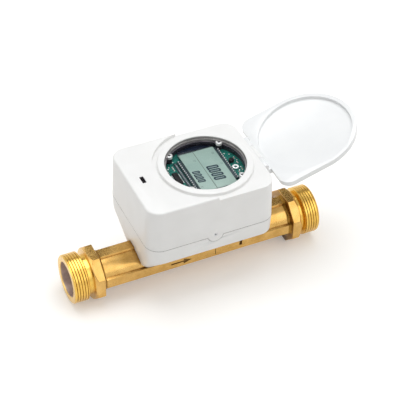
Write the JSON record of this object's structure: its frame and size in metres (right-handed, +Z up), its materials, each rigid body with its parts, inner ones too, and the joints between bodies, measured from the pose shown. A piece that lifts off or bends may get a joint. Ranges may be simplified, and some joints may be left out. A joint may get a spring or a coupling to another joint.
{
  "type": "ultrasonic water meter",
  "caption": "In-line water meter with a threaded brass tube, a white saddle housing, a round display window with a digit display and a D-shaped hinged lid that stands open.",
  "frame": {"origin": "centre of the inlet end face, on the flow axis", "axes": "+X along the flow from inlet to outlet, +Z up through the display, +Y to the back of the housing"},
  "size_m": [0.2582, 0.09, 0.1231],
  "materials": {
    "brass": "machined and sand-cast brass, satin",
    "white_plastic": "fine moulded texture, satin white",
    "lid_plastic": "smooth white moulding",
    "liner_plastic": "plain moulded",
    "steel": "plain stainless steel",
    "transducer_plastic": "dark moulded",
    "rubber": "black rubber",
    "lead_insulation": "red wire insulation",
    "dark_plastic": "black moulded",
    "infrared_plastic": "black infrared-pass plastic",
    "battery_sleeve": "plain shrink sleeve",
    "board_green": "green solder mask",
    "tinned_metal": "tinned",
    "display_glass": "grey-green liquid crystal glass",
    "clear_pane": "clear pane"
  },
  "bodies": {
    "meter": {"flow_tube": "brass", "gland_nuts": "brass", "lower_housing": "white_plastic", "upper_housing": "white_plastic", "measuring_liner": "liner_plastic", "inlet_reflector": "steel", "outlet_reflector": "steel", "seat_screws": "steel", "seal_screw": "steel", "display_screws": "steel", "hinge_pin": "steel", "inlet_transducer": "transducer_plastic", "outlet_transducer": "transducer_plastic", "transducer_seals": "rubber", "housing_gasket": "rubber", "pane_seal": "rubber", "transducer_leads": "lead_insulation", "battery_leads": "lead_insulation", "battery_cradle": "dark_plastic", "display_bezel": "dark_plastic", "pin_headers": "dark_plastic", "board_chip": "dark_plastic", "board_capacitor": "dark_plastic", "infrared_port": "infrared_plastic", "battery": "battery_sleeve", "circuit_board": "board_green", "display_pins": "tinned_metal", "board_coil": "tinned_metal", "display_glass": "display_glass", "window_pane": "clear_pane"},
    "lid": {"lid": "lid_plastic"}
  },
  "joints": [
    {"name": "lid_hinge", "type": "hinge", "parent": "meter", "child": "lid", "pos_m": [0.17025, 0, 0.079], "axis": [0, 1, 0], "range_deg": [-163.5, 0]}
  ]
}
